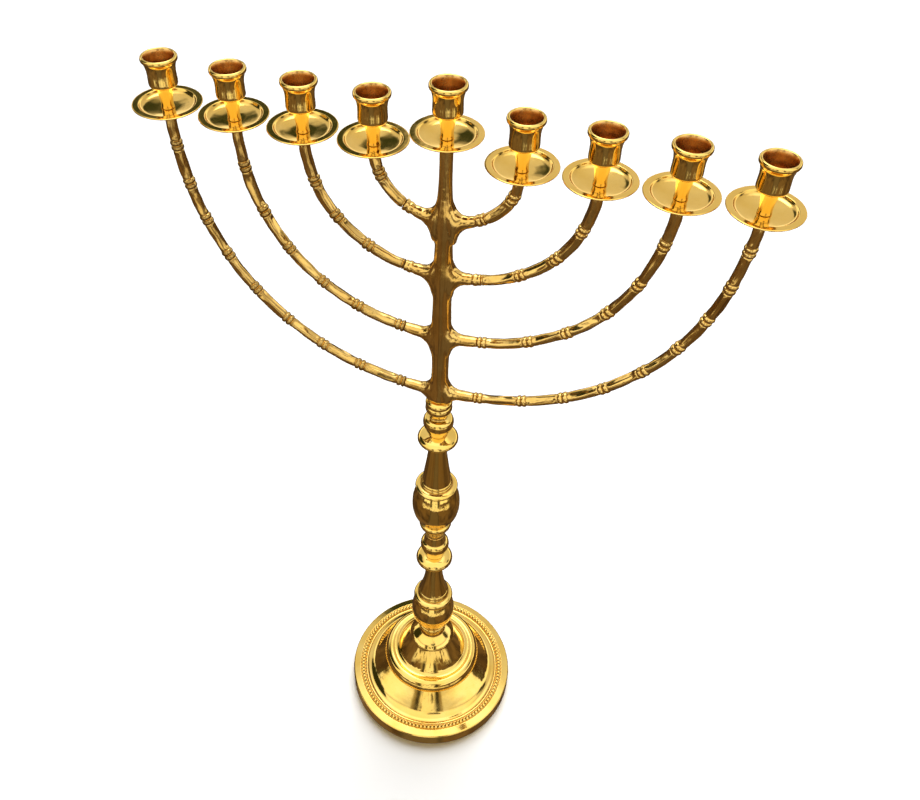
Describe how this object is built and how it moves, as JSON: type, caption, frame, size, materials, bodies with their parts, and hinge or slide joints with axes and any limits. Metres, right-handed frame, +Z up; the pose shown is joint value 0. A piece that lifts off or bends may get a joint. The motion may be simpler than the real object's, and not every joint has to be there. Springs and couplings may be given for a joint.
{
  "type": "menorah",
  "caption": "Free-standing brass menorah: curved branches from a middle column carry candle cups on drip pans, over a turned stem and a round domed base.",
  "frame": {"origin": "centre of the base's foot ring, on the surface the menorah stands on", "axes": "+Z up along the stem, +X along the row of candle cups from place 1 to place 9, +Y towards the back"},
  "size_m": [0.493, 0.193, 0.7937],
  "materials": {
    "polished_brass": "turned and mirror-polished brass, fine handling marks",
    "spun_brass": "spun brass sheet, polished, faint spinning rings",
    "cast_brass": "sand-cast brass, hand-filed and rubbed to a satin, darker in the hollows",
    "steel": "plain threaded steel, lightly oiled"
  },
  "bodies": {
    "stand": {"base_dome": "polished_brass", "bell_foot": "polished_brass", "lower_knop": "polished_brass", "lower_taper": "polished_brass", "lower_disc": "polished_brass", "lower_acorn": "polished_brass", "urn": "polished_brass", "upper_taper": "polished_brass", "upper_disc": "polished_brass", "upper_acorn": "polished_brass", "neck_collar": "polished_brass", "tie_rod": "steel", "rod_washer": "steel", "rod_nut": "steel", "centre_column": "cast_brass", "branch_1": "cast_brass", "branch_2": "cast_brass", "branch_3": "cast_brass", "branch_4": "cast_brass", "branch_6": "cast_brass", "branch_7": "cast_brass", "branch_8": "cast_brass", "branch_9": "cast_brass", "drip_pan_1": "spun_brass", "drip_pan_2": "spun_brass", "drip_pan_3": "spun_brass", "drip_pan_4": "spun_brass", "drip_pan_5": "spun_brass", "drip_pan_6": "spun_brass", "drip_pan_7": "spun_brass", "drip_pan_8": "spun_brass", "drip_pan_9": "spun_brass"},
    "stud_1": {"cup_stud_1": "steel"},
    "cup_1": {"candle_cup_1": "polished_brass"},
    "stud_2": {"cup_stud_2": "steel"},
    "cup_2": {"candle_cup_2": "polished_brass"},
    "stud_3": {"cup_stud_3": "steel"},
    "cup_3": {"candle_cup_3": "polished_brass"},
    "stud_4": {"cup_stud_4": "steel"},
    "cup_4": {"candle_cup_4": "polished_brass"},
    "stud_5": {"cup_stud_5": "steel"},
    "cup_5": {"candle_cup_5": "polished_brass"},
    "stud_6": {"cup_stud_6": "steel"},
    "cup_6": {"candle_cup_6": "polished_brass"},
    "stud_7": {"cup_stud_7": "steel"},
    "cup_7": {"candle_cup_7": "polished_brass"},
    "stud_8": {"cup_stud_8": "steel"},
    "cup_8": {"candle_cup_8": "polished_brass"},
    "stud_9": {"cup_stud_9": "steel"},
    "cup_9": {"candle_cup_9": "polished_brass"}
  },
  "joints": [
    {"name": "cup_1_lift", "type": "slide", "parent": "stand", "child": "stud_1", "axis": [0, 0, 1], "range_m": [0, 0.00801]},
    {"name": "cup_1_turn", "type": "hinge", "parent": "stud_1", "child": "cup_1", "pos_m": [-0.22, 0, 0.7378], "axis": [0, 0, 1], "range_deg": [0, 2880]},
    {"name": "cup_2_lift", "type": "slide", "parent": "stand", "child": "stud_2", "axis": [0, 0, 1], "range_m": [0, 0.00801]},
    {"name": "cup_2_turn", "type": "hinge", "parent": "stud_2", "child": "cup_2", "pos_m": [-0.165, 0, 0.7378], "axis": [0, 0, 1], "range_deg": [0, 2880]},
    {"name": "cup_3_lift", "type": "slide", "parent": "stand", "child": "stud_3", "axis": [0, 0, 1], "range_m": [0, 0.00801]},
    {"name": "cup_3_turn", "type": "hinge", "parent": "stud_3", "child": "cup_3", "pos_m": [-0.11, 0, 0.7378], "axis": [0, 0, 1], "range_deg": [0, 2880]},
    {"name": "cup_4_lift", "type": "slide", "parent": "stand", "child": "stud_4", "axis": [0, 0, 1], "range_m": [0, 0.00801]},
    {"name": "cup_4_turn", "type": "hinge", "parent": "stud_4", "child": "cup_4", "pos_m": [-0.055, 0, 0.7378], "axis": [0, 0, 1], "range_deg": [0, 2880]},
    {"name": "cup_5_lift", "type": "slide", "parent": "stand", "child": "stud_5", "axis": [0, 0, 1], "range_m": [0, 0.00801]},
    {"name": "cup_5_turn", "type": "hinge", "parent": "stud_5", "child": "cup_5", "pos_m": [0, 0, 0.7528], "axis": [0, 0, 1], "range_deg": [0, 2880]},
    {"name": "cup_6_lift", "type": "slide", "parent": "stand", "child": "stud_6", "axis": [0, 0, 1], "range_m": [0, 0.00801]},
    {"name": "cup_6_turn", "type": "hinge", "parent": "stud_6", "child": "cup_6", "pos_m": [0.055, 0, 0.7378], "axis": [0, 0, 1], "range_deg": [0, 2880]},
    {"name": "cup_7_lift", "type": "slide", "parent": "stand", "child": "stud_7", "axis": [0, 0, 1], "range_m": [0, 0.00801]},
    {"name": "cup_7_turn", "type": "hinge", "parent": "stud_7", "child": "cup_7", "pos_m": [0.11, 0, 0.7378], "axis": [0, 0, 1], "range_deg": [0, 2880]},
    {"name": "cup_8_lift", "type": "slide", "parent": "stand", "child": "stud_8", "axis": [0, 0, 1], "range_m": [0, 0.00801]},
    {"name": "cup_8_turn", "type": "hinge", "parent": "stud_8", "child": "cup_8", "pos_m": [0.165, 0, 0.7378], "axis": [0, 0, 1], "range_deg": [0, 2880]},
    {"name": "cup_9_lift", "type": "slide", "parent": "stand", "child": "stud_9", "axis": [0, 0, 1], "range_m": [0, 0.00801]},
    {"name": "cup_9_turn", "type": "hinge", "parent": "stud_9", "child": "cup_9", "pos_m": [0.22, 0, 0.7378], "axis": [0, 0, 1], "range_deg": [0, 2880]}
  ],
  "couplings": [
    {"joint": "cup_1_lift", "follows": "cup_1_turn", "m_per_rad": 0.00015915},
    {"joint": "cup_2_lift", "follows": "cup_2_turn", "m_per_rad": 0.00015915},
    {"joint": "cup_3_lift", "follows": "cup_3_turn", "m_per_rad": 0.00015915},
    {"joint": "cup_4_lift", "follows": "cup_4_turn", "m_per_rad": 0.00015915},
    {"joint": "cup_5_lift", "follows": "cup_5_turn", "m_per_rad": 0.00015915},
    {"joint": "cup_6_lift", "follows": "cup_6_turn", "m_per_rad": 0.00015915},
    {"joint": "cup_7_lift", "follows": "cup_7_turn", "m_per_rad": 0.00015915},
    {"joint": "cup_8_lift", "follows": "cup_8_turn", "m_per_rad": 0.00015915},
    {"joint": "cup_9_lift", "follows": "cup_9_turn", "m_per_rad": 0.00015915}
  ]
}
